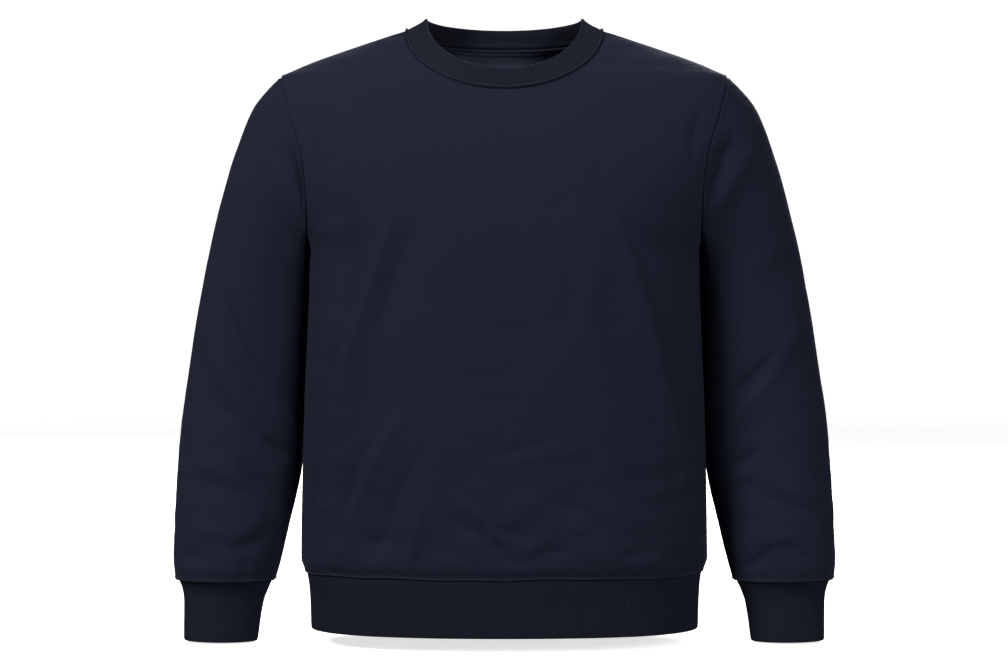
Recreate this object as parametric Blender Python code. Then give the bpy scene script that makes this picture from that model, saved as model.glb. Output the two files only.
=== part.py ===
"""A crewneck sweatshirt in its worn, hollow form, made of the pieces that are cut and sewn.

Metres, +Z up. The front faces -Y and the wearer's left arm is at +X. The origin lies midway
between the two shoulder neck points, where the garment hangs on whoever wears it. Every table
gives the outer face of the cloth, and each wall grows inwards from that face.
"""

from collections import namedtuple

import bmesh
import bpy
import numpy as np

# ---- Driving sizes ---------------------------------------------------------------------------

FLEECE = 0.0020  # wall of the body and the sleeves
RIB = 0.0025  # doubled rib of the hem band and the cuffs
COLLAR_RIB = 0.0030  # doubled rib of the neck band
TAPE = 0.0010  # seam tape inside the back neck
SEAM_GAP = 0.0003  # left open between two sewn pieces

HEM_SEAM_Z = -0.6270
UNDERARM_Z = -0.2620
SHOULDER_TIP_Z = -0.0545
NECK_SEAM_WIDTH = 0.1150  # half width of the neck seam, reached at z = 0
FULLNESS = 0.06  # how far a body ring stands out of its ellipse at 45 degrees
CENTRE_DIP = 0.045  # how far a row at the underarm's height dips at the centre line

# The grid of a half panel: columns under the neck and under the shoulder, rows below and above
# the underarm. Sleeves, collar and hem band take over the same points at their seams.
NECK_COLUMNS, SHOULDER_COLUMNS = 6, 6
LOWER_ROWS, UPPER_ROWS = 11, 10
SLEEVE_RINGS, COLLAR_ROWS = 14, 4

BodyRing = namedtuple("BodyRing", "z half_width front back middle")
BODY_RINGS = [
    BodyRing(-0.6270, 0.2292, 0.1210, 0.1060, 0.000),
    BodyRing(-0.6110, 0.2348, 0.1265, 0.1105, 0.000),
    BodyRing(-0.5200, 0.2336, 0.1300, 0.1120, 0.000),
    BodyRing(-0.4300, 0.2310, 0.1315, 0.1120, 0.000),
    BodyRing(-0.3500, 0.2275, 0.1325, 0.1150, 0.000),
    BodyRing(-0.2900, 0.2260, 0.1325, 0.1210, 0.000),
    BodyRing(-0.2620, 0.2262, 0.1315, 0.1235, 0.000),
    BodyRing(-0.2300, 0.2400, 0.1290, 0.1260, 0.000),
    BodyRing(-0.1900, 0.2560, 0.1230, 0.1265, 0.000),
    BodyRing(-0.1470, 0.2700, 0.1145, 0.1240, 0.001),
    BodyRing(-0.1050, 0.2775, 0.0990, 0.1190, 0.002),
    BodyRing(-0.0761, 0.2735, 0.0830, 0.1130, 0.003),
    BodyRing(-0.0615, 0.2650, 0.0720, 0.1090, 0.003),
    BodyRing(-0.0545, 0.2590, 0.0650, 0.1065, 0.003),
    BodyRing(-0.0470, 0.2435, 0.0565, 0.1035, 0.004),
    BodyRing(-0.0350, 0.2145, 0.0440, 0.0985, 0.004),
    BodyRing(-0.0255, 0.1880, 0.0340, 0.0930, 0.005),
    BodyRing(-0.0131, 0.1520, 0.0210, 0.0800, 0.005),
    BodyRing(-0.0065, 0.1330, 0.0125, 0.0610, 0.006),
    BodyRing(-0.0020, 0.1205, 0.0065, 0.0370, 0.006),
    BodyRing(0.0000, 0.1150, 0.0030, 0.0120, 0.006),
]

HEM_RINGS = [
    BodyRing(-0.6915, 0.2235, 0.1185, 0.1035, 0.000),
    BodyRing(-0.6610, 0.2244, 0.1185, 0.1035, 0.000),
    BodyRing(-0.6400, 0.2258, 0.1195, 0.1045, 0.000),
    BodyRing(HEM_SEAM_Z - SEAM_GAP, 0.2282, 0.1207, 0.1057, 0.000),
]

# The armhole seam between the underarm and the shoulder tip.
ArmholeRow = namedtuple("ArmholeRow", "z front_x back_x")
ARMHOLE = [
    ArmholeRow(UNDERARM_Z, 0.2262, 0.2262),
    ArmholeRow(-0.2300, 0.2245, 0.2290),
    ArmholeRow(-0.1900, 0.2255, 0.2360),
    ArmholeRow(-0.1470, 0.2310, 0.2420),
    ArmholeRow(-0.1050, 0.2440, 0.2485),
    ArmholeRow(-0.0800, 0.2520, 0.2535),
    ArmholeRow(SHOULDER_TIP_Z, 0.2590, 0.2590),
]

# A sleeve's sections, by the distance down its middle: its outer and inner edge, half its
# depth from front to back, and where that depth is centred.
SleeveRing = namedtuple("SleeveRing", "along outer_x outer_z inner_x inner_z depth middle")
SLEEVE_SECTIONS = [
    SleeveRing(0.000, 0.2590, -0.0545, 0.2262, -0.2620, 0.0690, -0.001),
    SleeveRing(0.016, 0.2728, -0.0670, 0.2280, -0.2690, 0.0690, 0.003),
    SleeveRing(0.040, 0.2920, -0.0900, 0.2285, -0.2800, 0.0685, 0.010),
    SleeveRing(0.075, 0.3088, -0.1280, 0.2283, -0.2960, 0.0680, 0.018),
    SleeveRing(0.130, 0.3310, -0.1970, 0.2280, -0.3280, 0.0675, 0.024),
    SleeveRing(0.200, 0.3522, -0.2900, 0.2288, -0.3820, 0.0665, 0.028),
    SleeveRing(0.275, 0.3674, -0.3830, 0.2315, -0.4420, 0.0635, 0.026),
    SleeveRing(0.350, 0.3784, -0.4756, 0.2360, -0.5060, 0.0590, 0.018),
    SleeveRing(0.430, 0.3826, -0.5640, 0.2495, -0.5730, 0.0535, 0.006),
    SleeveRing(0.488, 0.3832, -0.6180, 0.2615, -0.6230, 0.0480, -0.002),
    SleeveRing(0.506, 0.3805, -0.6360, 0.2658, -0.6370, 0.0430, -0.004),
]
ARMHOLE_REACH = 0.11  # how far down the sleeve the armhole's outline is still felt

CUFF_SECTIONS = [
    SleeveRing(0.000, 0.3765, -0.6363, 0.2690, -0.6373, 0.0410, -0.004),
    SleeveRing(0.010, 0.3728, -0.6460, 0.2735, -0.6470, 0.0355, -0.004),
    SleeveRing(0.024, 0.3706, -0.6600, 0.2788, -0.6612, 0.0315, -0.005),
    SleeveRing(0.070, 0.3700, -0.7060, 0.2858, -0.7070, 0.0285, -0.008),
]

# The two loops of the collar: half width, half depths about a middle, the height of the sides
# and how far the loop drops from there to the centre line.
NeckLoop = namedtuple("NeckLoop", "half_width front back middle side_z front_drop back_drop")
NECK_EDGE = NeckLoop(0.0890, 0.0775, 0.0730, 0.006, 0.0135, 0.0653, 0.0035)
NECK_SEAM_DROP = {-1: 0.0761, 1: 0.0131}  # front and back
COLLAR_DIP = 0.0028  # how far the collar's side sinks below a straight line to its edge
COLLAR_STAND = 0.0010  # how far the collar stands out over the panels along its seam

TAPE_TOP, TAPE_BOTTOM = 0.0010, 0.0075  # the tape's edges, below the neck seam
TAPE_CLEAR = 0.0007  # the tape clears the back's facets by this much

# Long soft folds, from a start to an end, bowed sideways: ridges (+) and troughs (-). On the
# panels they are placed by x and z.
Fold = namedtuple("Fold", "start end bow width height")
PANEL_FOLDS = {
    "front": [
        Fold((-0.122, -0.215), (-0.214, -0.560), -0.006, 0.018, 0.0060),
        Fold((-0.146, -0.215), (-0.180, -0.310), 0.000, 0.016, -0.0035),
        Fold((-0.095, -0.245), (-0.165, -0.420), -0.004, 0.019, -0.0035),
        Fold((-0.110, -0.430), (-0.196, -0.600), -0.006, 0.017, 0.0040),
        Fold((0.118, -0.225), (0.212, -0.590), 0.010, 0.018, 0.0040),
        Fold((0.150, -0.270), (0.222, -0.600), 0.008, 0.014, -0.0040),
    ],
    "back": [
        Fold((0.110, -0.190), (0.188, -0.540), 0.006, 0.022, 0.0050),
        Fold((0.145, -0.260), (0.205, -0.580), 0.004, 0.017, -0.0035),
        Fold((-0.090, -0.230), (-0.176, -0.590), -0.008, 0.022, 0.0045),
        Fold((-0.130, -0.250), (-0.200, -0.500), -0.004, 0.017, -0.0035),
    ],
}
# On a sleeve they are placed by the way round it, from its inner edge over the front (behind
# the inner edge it is negative), and by the distance down it.
SLEEVE_FOLDS = {
    "sleeve_left": [
        Fold((0.150, 0.215), (0.040, 0.320), 0.006, 0.016, 0.0045),
        Fold((0.130, 0.190), (0.020, 0.280), 0.006, 0.014, -0.0035),
        Fold((-0.120, 0.300), (-0.030, 0.390), -0.008, 0.016, -0.0035),
    ],
    "sleeve_right": [
        Fold((0.120, 0.190), (0.010, 0.330), 0.014, 0.015, -0.0040),
        Fold((0.160, 0.360), (0.060, 0.400), 0.005, 0.013, 0.0030),
        Fold((-0.130, 0.240), (-0.020, 0.330), -0.010, 0.016, -0.0035),
    ],
}
FOLD_FADE = 0.030  # folds fade out over this length towards a level seam


# ---- Reading the tables ----------------------------------------------------------------------


def smooth_curve(keys, values, at):
    """A cubic through rising keys that never overshoots the values beside it."""
    keys, values = np.asarray(keys), np.asarray(values)
    at = np.clip(at, keys[0], keys[-1])
    step = np.diff(keys)
    slope = np.diff(values) / step
    product, total = slope[:-1] * slope[1:], slope[:-1] + slope[1:]
    same_way = product > 0
    inner = np.where(same_way, 2 * product / np.where(same_way, total, 1), 0)
    tangent = np.concatenate([slope[:1], inner, slope[-1:]])
    k = np.clip(np.searchsorted(keys, at) - 1, 0, len(step) - 1)
    t = (at - keys[k]) / step[k]
    value = values[k] * (1 + 2 * t) * (1 - t) ** 2 + values[k + 1] * t**2 * (3 - 2 * t)
    return value + step[k] * t * (1 - t) * (tangent[k] * (1 - t) - tangent[k + 1] * t)


def column(table, name, at):
    """One named column of a table, read by the table's first column."""
    return smooth_curve([row[0] for row in table], [getattr(row, name) for row in table], at)


def ring_point(table, angle, z, half):
    """A point of a body ring. The angle runs from the centre line to the side seam at a
    quarter turn, and half is -1 on the front and +1 on the back."""
    fuller = 1 + FULLNESS * np.sin(2 * angle) ** 2
    x = column(table, "half_width", z) * np.sin(angle) * fuller
    depth = column(table, "front" if half < 0 else "back", z)
    y = column(table, "middle", z) + half * depth * np.cos(angle) * fuller
    return np.stack(np.broadcast_arrays(x, y, z), -1)


QUARTER = np.linspace(0, np.pi / 2, 2001)
SHARE_OF_WIDTH = np.sin(QUARTER) * (1 + FULLNESS * np.sin(2 * QUARTER) ** 2)
SHOULDER_Z = np.linspace(SHOULDER_TIP_Z, 0, 2001)
SHOULDER_X = column(BODY_RINGS, "half_width", SHOULDER_Z)


def angle_at(x, z):
    """The angle on the body's ring at this height that has this x."""
    share = np.abs(x) / column(BODY_RINGS, "half_width", z)
    return np.sign(x) * np.interp(share, SHARE_OF_WIDTH, QUARTER)


def shoulder_z(x):
    """The height of the shoulder seam over x."""
    return np.interp(x, SHOULDER_X[::-1], SHOULDER_Z[::-1])


def neck_seam(turn, half):
    """x and z of the neck seam: a turn of 0 is the centre line, a quarter the shoulder."""
    return NECK_SEAM_WIDTH * np.sin(turn), -NECK_SEAM_DROP[half] * np.cos(turn)


def fold_height(folds, a, b):
    """How far the cloth stands out at the places (a, b) where these folds cross them."""
    height = np.zeros(np.shape(a))
    for fold in folds:
        way = np.subtract(fold.end, fold.start)
        length = np.hypot(*way)
        way = way / length
        from_a, from_b = a - fold.start[0], b - fold.start[1]
        t = (from_a * way[0] + from_b * way[1]) / length
        aside = from_b * way[0] - from_a * way[1] - 4 * fold.bow * t * (1 - t)
        taper = np.sin(np.pi * np.clip(t, 0, 1)) ** 0.8
        height += fold.height * taper * np.exp(-((aside / fold.width) ** 2))
    return height


# ---- Outer faces -----------------------------------------------------------------------------


def unit(vectors):
    return vectors / np.linalg.norm(vectors, axis=-1, keepdims=True)


def eased(share):
    """A share from 0 to 1 that starts and ends softly."""
    share = np.clip(share, 0, 1)
    return share**2 * (3 - 2 * share)


def body_surface(x, z, half):
    """Points and outward normals of the smooth body at these places of its front or back."""
    angle = angle_at(x, z)
    turned, raised = 1e-4, 1e-5
    point = ring_point(BODY_RINGS, angle, z, half)
    around = ring_point(BODY_RINGS, angle + turned, z, half)
    around = around - ring_point(BODY_RINGS, angle - turned, z, half)
    above = ring_point(BODY_RINGS, angle, np.minimum(z + raised, 0), half)
    above = above - ring_point(BODY_RINGS, angle, z - raised, half)
    return point, unit(np.cross(around, above)) * -half


def ring_normals(grid):
    """Outward normals of a closed grid of rings, whose last column repeats the first."""
    along = np.gradient(grid, axis=0)
    around = np.gradient(grid, axis=1)
    around[:, 0] = around[:, -1] = (grid[:, 1] - grid[:, -2]) / 2
    normal = unit(np.cross(around, along))
    outwards = np.sum(normal * (grid - grid.mean(axis=1, keepdims=True)))
    return normal * np.sign(outwards)


def armhole(half):
    """x and z of the armhole seam from the underarm to the shoulder tip, closer together
    towards both ends, where the seam turns."""
    turn = np.linspace(0, np.pi, UPPER_ROWS + 1)
    z = UNDERARM_Z + (SHOULDER_TIP_Z - UNDERARM_Z) * (1 - np.cos(turn)) / 2
    return column(ARMHOLE, "front_x" if half < 0 else "back_x", z), z


def half_outline(half):
    """x and z of the grid of a half panel, from the centre line out and from the hem up."""
    share = np.linspace(0, 1, NECK_COLUMNS + SHOULDER_COLUMNS + 1)

    # Up to the underarm the rows go round the body, dipping softly towards the centre line.
    up = np.linspace(0, 1, LOWER_ROWS + 1)[:, None]
    side_z = HEM_SEAM_Z + (UNDERARM_Z - HEM_SEAM_Z) * up
    lower_z = side_z - CENTRE_DIP * up * (1 - share**2)
    lower_x = ring_point(BODY_RINGS, share * np.pi / 2, lower_z, half)[..., 0]

    # Above it a patch is spanned between the underarm row, the armhole and the neck and
    # shoulder seams.
    neck_x, neck_z = neck_seam(np.linspace(0, np.pi / 2, NECK_COLUMNS + 1), half)
    seam_x = np.linspace(NECK_SEAM_WIDTH, SHOULDER_X[0], SHOULDER_COLUMNS + 1)[1:]
    top_x = np.concatenate([neck_x, seam_x])
    top_z = np.concatenate([neck_z, shoulder_z(seam_x)])
    arm_x, arm_z = armhole(half)
    rise = (arm_z - UNDERARM_Z) / (SHOULDER_TIP_Z - UNDERARM_Z)
    centre_z = lower_z[-1, 0] + (top_z[0] - lower_z[-1, 0]) * rise
    up = rise[:, None]

    def span(bottom, top, centre, side):
        edges = (1 - up) * bottom + up * top
        edges = edges + (1 - share) * centre[:, None] + share * side[:, None]
        low = (1 - share) * bottom[0] + share * bottom[-1]
        high = (1 - share) * top[0] + share * top[-1]
        return edges - (1 - up) * low - up * high

    upper_x = span(lower_x[-1], top_x, np.zeros_like(arm_x), arm_x)
    upper_z = span(lower_z[-1], top_z, centre_z, arm_z)
    return np.vstack([lower_x[:-1], upper_x]), np.vstack([lower_z[:-1], upper_z])


def panel_face(half, folds):
    """Points and normals of the front or the back, from the hem seam up to its top seams."""
    x, z = half_outline(half)
    x, z = np.hstack([-x[:, :0:-1], x]), np.hstack([z[:, :0:-1], z])
    point, normal = body_surface(x, z, half)
    from_side = np.pi / 2 - np.abs(angle_at(x, z))
    calm = eased((z - HEM_SEAM_Z) / FOLD_FADE) * eased(from_side / np.radians(20))
    return point + normal * (fold_height(folds, x, z) * calm)[..., None], normal


def section_rings(sections, along, turn):
    """Rings of a sleeve or cuff at these distances down it. A turn of 0 is the inner edge, a
    quarter turn the front."""
    outer = [column(sections, name, along)[:, None] for name in ("outer_x", "outer_z")]
    inner = [column(sections, name, along)[:, None] for name in ("inner_x", "inner_z")]
    x, z = [(o + i) / 2 - (o - i) / 2 * np.cos(turn) for o, i in zip(outer, inner)]
    depth = column(sections, "depth", along)[:, None] * np.sin(turn)
    return np.stack([x, column(sections, "middle", along)[:, None] - depth, z], -1)


def sleeve_face(folds):
    """Points of the sleeve at +X, from the armhole to the cuff seam."""
    length = SLEEVE_SECTIONS[-1].along
    along = length * np.linspace(0, 1, SLEEVE_RINGS + 1)
    turn = np.linspace(0, 2 * np.pi, 2 * UPPER_ROWS + 1)
    rings = section_rings(SLEEVE_SECTIONS, along, turn)

    front, back = [body_surface(*armhole(half), half)[0] for half in (-1, 1)]
    seam = np.vstack([front, back[-2::-1]])
    rings += (1 - eased(along / ARMHOLE_REACH))[:, None, None] * (seam - rings[0])
    rise = unit(front[-1] - front[0])
    rings[0] += SEAM_GAP * np.array([rise[2], 0, -rise[0]])

    girth = np.linalg.norm(np.diff(rings, axis=1), axis=-1).sum(axis=1)[:, None]
    around = np.where(turn <= np.pi, turn, turn - 2 * np.pi) / (2 * np.pi) * girth
    calm = eased(along / FOLD_FADE) * eased((length - along) / FOLD_FADE)
    height = fold_height(folds, around, np.broadcast_to(along[:, None], around.shape))
    height[:, -1] = height[:, 0]
    return rings + ring_normals(rings) * (height * calm[:, None])[..., None]


def cuff_face():
    """Points of the cuff at +X, from the cuff seam down to its edge."""
    turn = np.linspace(0, 2 * np.pi, 2 * UPPER_ROWS + 1)
    return section_rings(CUFF_SECTIONS, np.array([row.along for row in CUFF_SECTIONS]), turn)


def hem_face():
    """Points of the hem band, from its lower edge up to the hem seam, all the way round."""
    angle = np.linspace(-np.pi / 2, np.pi / 2, 2 * (NECK_COLUMNS + SHOULDER_COLUMNS) + 1)
    z = np.array([row.z for row in HEM_RINGS])[:, None]
    front, back = [ring_point(HEM_RINGS, way, z, half) for half, way in ((-1, angle), (1, -angle))]
    return np.concatenate([front[:, :-1], back], axis=1)


def collar_face():
    """Points of the neck band, from the neck seam up to its free edge: along the front from
    -X to +X, and home along the back."""
    quarter_to_quarter = np.linspace(-np.pi / 2, np.pi / 2, 2 * NECK_COLUMNS + 1)
    up = np.linspace(0, 1, COLLAR_ROWS + 1)[:, None, None]
    halves = []
    for half, turn in ((-1, quarter_to_quarter), (1, -quarter_to_quarter)):
        seam = body_surface(*neck_seam(turn, half), half)[0]
        depth = NECK_EDGE.front if half < 0 else NECK_EDGE.back
        drop = NECK_EDGE.front_drop if half < 0 else NECK_EDGE.back_drop
        x = NECK_EDGE.half_width * np.sin(turn)
        y = NECK_EDGE.middle + half * depth * np.cos(turn)
        edge = np.stack([x, y, NECK_EDGE.side_z - drop * np.cos(turn)], -1)
        band = seam * (1 - up) + edge * up
        band[..., 2] -= COLLAR_DIP * np.sin(np.pi * up[..., 0]) * np.sin(turn) ** 2
        band[0] += SEAM_GAP * unit(band[1] - band[0])
        halves.append(band)
    rings = np.concatenate([halves[0][:, :-1], halves[1]], axis=1)
    return rings, ring_normals(rings)


# ---- Walls of cloth --------------------------------------------------------------------------


def level(normal):
    """Normals turned level, for an edge whose seam is a level ring."""
    return unit(normal * (1, 1, 0))


def inner_face(outer, normal, wall, edges):
    """The inner face of a wall. Along its seams, given as a place in the grid and a direction,
    it follows the direction that both sewn pieces share, so that they lie face to face."""
    inner = outer - normal * wall
    for place, direction in edges:
        facing = np.sum(direction * normal[place], axis=-1, keepdims=True)
        inner[place] = outer[place] - direction * wall / np.clip(facing, 0.6, 1)
    return inner


def cloth(name, outer, inner, material, closed):
    """One closed wall between an outer and an inner grid. A closed grid runs right round, and
    its last column repeats the first."""
    if closed:
        outer, inner = outer[:, :-1], inner[:, :-1]
    rows, columns = outer.shape[:2]
    count = rows * columns
    index = np.arange(count).reshape(rows, columns)
    if closed:
        index = np.hstack([index, index[:, :1]])

    def strip(first, second):
        return [tuple(map(int, face)) for face in zip(first, first[1:], second[1:], second)]

    faces = []
    for low, high in zip(index, index[1:]):
        faces += strip(low, high) + strip(high + count, low + count)
    rims = [index[0], index[-1]]
    if not closed:
        rims += [index[:, 0], index[:, -1]]
    for rim in rims:
        faces += strip(rim, rim + count)

    mesh = bpy.data.meshes.new(name)
    points = np.concatenate([outer.reshape(-1, 3), inner.reshape(-1, 3)])
    mesh.from_pydata(points.tolist(), [], faces)
    shell = bmesh.new()
    shell.from_mesh(mesh)
    bmesh.ops.recalc_face_normals(shell, faces=shell.faces)
    shell.to_mesh(mesh)
    shell.free()
    mesh.shade_smooth()
    mesh.set_sharp_from_angle(angle=np.radians(50))
    mesh.materials.append(material)
    bpy.context.scene.collection.objects.link(bpy.data.objects.new(name, mesh))


def finish(name, colour, roughness):
    """A plain cloth material."""
    material = bpy.data.materials.new(name)
    material.use_nodes = True
    shader = material.node_tree.nodes["Principled BSDF"]
    shader.inputs["Base Color"].default_value = (*colour, 1)
    shader.inputs["Roughness"].default_value = roughness
    shader.inputs["Metallic"].default_value = 0
    return material


# ---- The pieces ------------------------------------------------------------------------------


def make_panel(name, half, at_armhole, at_neck, material):
    """The front or the back. The sleeve's and the collar's normals along their seams say how
    its edges meet them. Gives the wall's inner face and normals below the neck seam."""
    outer, normal = panel_face(half, PANEL_FOLDS[name])
    arm = slice(LOWER_ROWS, None)
    neck = slice(SHOULDER_COLUMNS, SHOULDER_COLUMNS + 2 * NECK_COLUMNS + 1)
    edges = [
        ((0,), level(normal[0])),
        ((arm, -1), unit(normal[arm, -1] + at_armhole)),
        ((arm, 0), unit(normal[arm, 0] + at_armhole * (-1, 1, 1))),
        ((-1, neck), unit(normal[-1, neck] + at_neck)),
    ]
    inner = inner_face(outer, normal, FLEECE, edges)
    for face in (outer, inner):
        face[: LOWER_ROWS + 1, (0, -1), 1] += half * SEAM_GAP / 2
        face[-1, : SHOULDER_COLUMNS + 1, 1] += half * SEAM_GAP / 2
        face[-1, -SHOULDER_COLUMNS - 1 :, 1] += half * SEAM_GAP / 2
    cloth(name, outer, inner, material, closed=False)
    return inner[:, neck], normal[:, neck]


def make_tape(inner, normal, material):
    """The tape over the back neck seam, laid on the back panel's inner face."""
    top, below = inner[-1, 1:-1], inner[-2, 1:-1]
    inwards = unit(np.cross(np.gradient(top, axis=0), below - top))
    inwards *= -np.sign(np.sum(inwards * normal[-1, 1:-1]))
    outer = np.stack([top + unit(below - top) * drop for drop in (TAPE_BOTTOM, TAPE_TOP)])
    outer += inwards * TAPE_CLEAR
    cloth("neck_tape", outer, outer + inwards * TAPE, material, closed=False)


def make_sleeve(name, side, at_panels, material):
    """A sleeve on the side -1 or +1. The panels' normals along the armhole say how its first
    ring meets them."""
    outer = sleeve_face(SLEEVE_FOLDS[name])
    normal = ring_normals(outer)
    edges = [((0,), unit(normal[0] + at_panels)), ((-1,), level(normal[-1]))]
    inner = inner_face(outer, normal, FLEECE, edges)
    cloth(name, outer * (side, 1, 1), inner * (side, 1, 1), material, closed=True)


def make_cuff(name, side, material):
    outer = cuff_face()
    normal = ring_normals(outer)
    inner = inner_face(outer, normal, RIB, [((end,), level(normal[end])) for end in (0, -1)])
    cloth(name, outer * (side, 1, 1), inner * (side, 1, 1), material, closed=True)


def make_hem_band(material):
    outer = hem_face()
    normal = ring_normals(outer)
    inner = inner_face(outer, normal, RIB, [((end,), level(normal[end])) for end in (0, -1)])
    cloth("hem_band", outer, inner, material, closed=True)


def make_collar(at_panels, material):
    outer, normal = collar_face()
    normal[0] = unit(normal[0] + at_panels)
    outer += normal * COLLAR_STAND
    cloth("collar", outer, outer - normal * COLLAR_RIB, material, closed=True)


for leftover in list(bpy.data.objects):
    bpy.data.objects.remove(leftover, do_unlink=True)

fleece = finish("navy_fleece", (0.022, 0.026, 0.048), 0.90)
rib = finish("navy_rib", (0.018, 0.021, 0.040), 0.88)
tape = finish("navy_tape", (0.024, 0.028, 0.050), 0.85)

# Normals on both sides of the armhole and neck seams, which the walls' edges share.
sleeve_side = ring_normals(sleeve_face([]))[0]
front_arm, back_arm = [body_surface(*armhole(half), half)[1] for half in (-1, 1)]
collar_side = collar_face()[1][0]
turns = np.linspace(-np.pi / 2, np.pi / 2, 2 * NECK_COLUMNS + 1)
front_neck, back_neck = [body_surface(*neck_seam(turns, half), half)[1] for half in (-1, 1)]

make_panel("front", -1, sleeve_side[: UPPER_ROWS + 1], collar_side[: len(turns)], fleece)
neck_wall = make_panel("back", 1, sleeve_side[: UPPER_ROWS - 1 : -1], collar_side[: len(turns) - 2 : -1], fleece)
make_tape(*neck_wall, tape)
for side_name, side in (("left", 1), ("right", -1)):
    make_sleeve("sleeve_" + side_name, side, np.vstack([front_arm, back_arm[-2::-1]]), fleece)
    make_cuff("cuff_" + side_name, side, rib)
make_hem_band(rib)
make_collar(np.vstack([front_neck[:-1], back_neck[::-1]]), rib)
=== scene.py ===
"""A crewneck sweatshirt as it is worn, hollow, put together from its cut and sewn pieces.

Metres, +Z up. The front faces -Y and the wearer's left arm is at +X.
"""

from collections import namedtuple

import bpy
import numpy as np
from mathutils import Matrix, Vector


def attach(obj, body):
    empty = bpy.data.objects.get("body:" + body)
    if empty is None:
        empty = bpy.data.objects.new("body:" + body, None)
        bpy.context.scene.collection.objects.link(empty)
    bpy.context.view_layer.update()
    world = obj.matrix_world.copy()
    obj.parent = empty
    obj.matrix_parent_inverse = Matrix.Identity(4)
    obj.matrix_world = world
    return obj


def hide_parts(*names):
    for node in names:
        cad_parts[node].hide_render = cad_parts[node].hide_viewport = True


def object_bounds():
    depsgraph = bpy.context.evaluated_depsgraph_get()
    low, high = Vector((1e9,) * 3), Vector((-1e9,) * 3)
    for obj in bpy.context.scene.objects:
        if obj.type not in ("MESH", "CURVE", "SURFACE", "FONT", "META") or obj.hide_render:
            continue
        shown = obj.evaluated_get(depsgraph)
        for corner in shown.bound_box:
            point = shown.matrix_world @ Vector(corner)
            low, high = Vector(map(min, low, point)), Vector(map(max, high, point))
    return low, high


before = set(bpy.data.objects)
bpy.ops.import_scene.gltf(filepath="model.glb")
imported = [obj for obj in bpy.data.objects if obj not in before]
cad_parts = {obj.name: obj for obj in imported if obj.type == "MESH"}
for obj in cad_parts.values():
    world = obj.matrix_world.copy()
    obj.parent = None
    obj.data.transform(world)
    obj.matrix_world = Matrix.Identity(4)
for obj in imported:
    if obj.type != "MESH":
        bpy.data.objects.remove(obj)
cad_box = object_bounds()

# ---- The studio ----
# A white paper floor that sweeps up into a round white wall, with a large soft light high on
# the left of the front, weaker ones on its right and overhead, and one behind. The garment stands
# with its cuffs just clear of the floor, seen level from the front.

EYE = (-0.0003, -2.7, -0.355)
LENS, SENSOR = 83.1, 36
FLOOR_GAP = 0.0015
FLOOR_RADIUS, SWEEP_RADIUS, WALL_HEIGHT = 6.0, 2.0, 7.0
PAPER_GLOW, ROOM_GLOW = 0.71, 0.16
LIGHTS_AIM = (0, 0, -0.30)

bpy.ops.object.select_all(action="DESELECT")
bpy.ops.object.camera_add(location=EYE, rotation=(np.pi / 2, 0, 0))
camera = bpy.context.object
camera.data.lens, camera.data.sensor_width = LENS, SENSOR
camera.data.clip_start, camera.data.clip_end = 0.05, 60
bpy.context.scene.camera = camera

bpy.ops.object.select_all(action="DESELECT")
floor_z = cad_box[0].z - FLOOR_GAP
wall_radius = FLOOR_RADIUS + SWEEP_RADIUS
bpy.ops.mesh.primitive_circle_add(
    vertices=96, radius=wall_radius, fill_type="NGON", location=(0, 0, floor_z)
)
floor = bpy.context.object
floor.name = "studio_floor"
bpy.ops.object.mode_set(mode="EDIT")
bpy.ops.mesh.select_mode(type="EDGE")
bpy.ops.mesh.select_all(action="SELECT")
bpy.ops.mesh.region_to_loop()
bpy.ops.mesh.extrude_edges_move(TRANSFORM_OT_translate={"value": (0, 0, WALL_HEIGHT)})
bpy.ops.object.mode_set(mode="OBJECT")
sweep = floor.modifiers.new("sweep", "BEVEL")
sweep.width, sweep.segments = SWEEP_RADIUS, 16
sweep.limit_method, sweep.angle_limit = "ANGLE", 1.0
bpy.ops.object.modifier_apply(modifier=sweep.name)
bpy.ops.object.shade_smooth()
paper = bpy.data.materials.new("studio_paper")
paper.use_nodes = True
white = paper.node_tree.nodes["Principled BSDF"]
white.inputs["Base Color"].default_value = (0.9, 0.9, 0.9, 1)
white.inputs["Roughness"].default_value = 0.9
white.inputs["Emission Color"].default_value = (1, 1, 1, 1)
white.inputs["Emission Strength"].default_value = PAPER_GLOW
floor.data.materials.append(paper)
floor.visible_diffuse = floor.visible_glossy = floor.visible_shadow = False

room = bpy.data.worlds.new("studio_room")
bpy.context.scene.world = room
room.use_nodes = True
room.node_tree.nodes["Background"].inputs["Color"].default_value = (1, 1, 1, 1)
room.node_tree.nodes["Background"].inputs["Strength"].default_value = ROOM_GLOW
bpy.context.scene.view_settings.view_transform = "Standard"

for name, place, size, power in (
    ("key_light", (-2.9, -2.5, 2.1), 1.3, 285),
    ("fill_light", (2.1, -3.3, 0.8), 1.4, 128),
    ("top_light", (0.0, 0.2, 3.2), 3.4, 12),
    ("back_light", (0.7, 3.6, 1.8), 2.0, 260),
):
    bpy.ops.object.light_add(type="AREA", location=place)
    light = bpy.context.object
    light.name = name
    light.data.size, light.data.energy = size, power
    toward = np.array(LIGHTS_AIM) - place
    flat_way = np.hypot(toward[0], toward[1])
    light.rotation_euler = (np.arctan2(flat_way, -toward[2]), 0, np.arctan2(-toward[0], toward[1]))

# ---- The front ----
# One panel of brushed-back cotton fleece, plain knit on its face. It is cut to the side seams,
# the armholes, the shoulder seams and the low front neck, hangs from the shoulders and blouses
# over the hem band, where it is eased in with small puckers.

FLEECE = 0.0020
HEM_SEAM_Z, UNDERARM_Z, SHOULDER_TIP_Z = -0.6270, -0.2620, -0.0545
NECK_SEAM_WIDTH = 0.1150
NECK_SEAM_DROP = {-1: 0.0761, 1: 0.0131}  # front and back
FULLNESS, CENTRE_DIP = 0.06, 0.045

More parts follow.
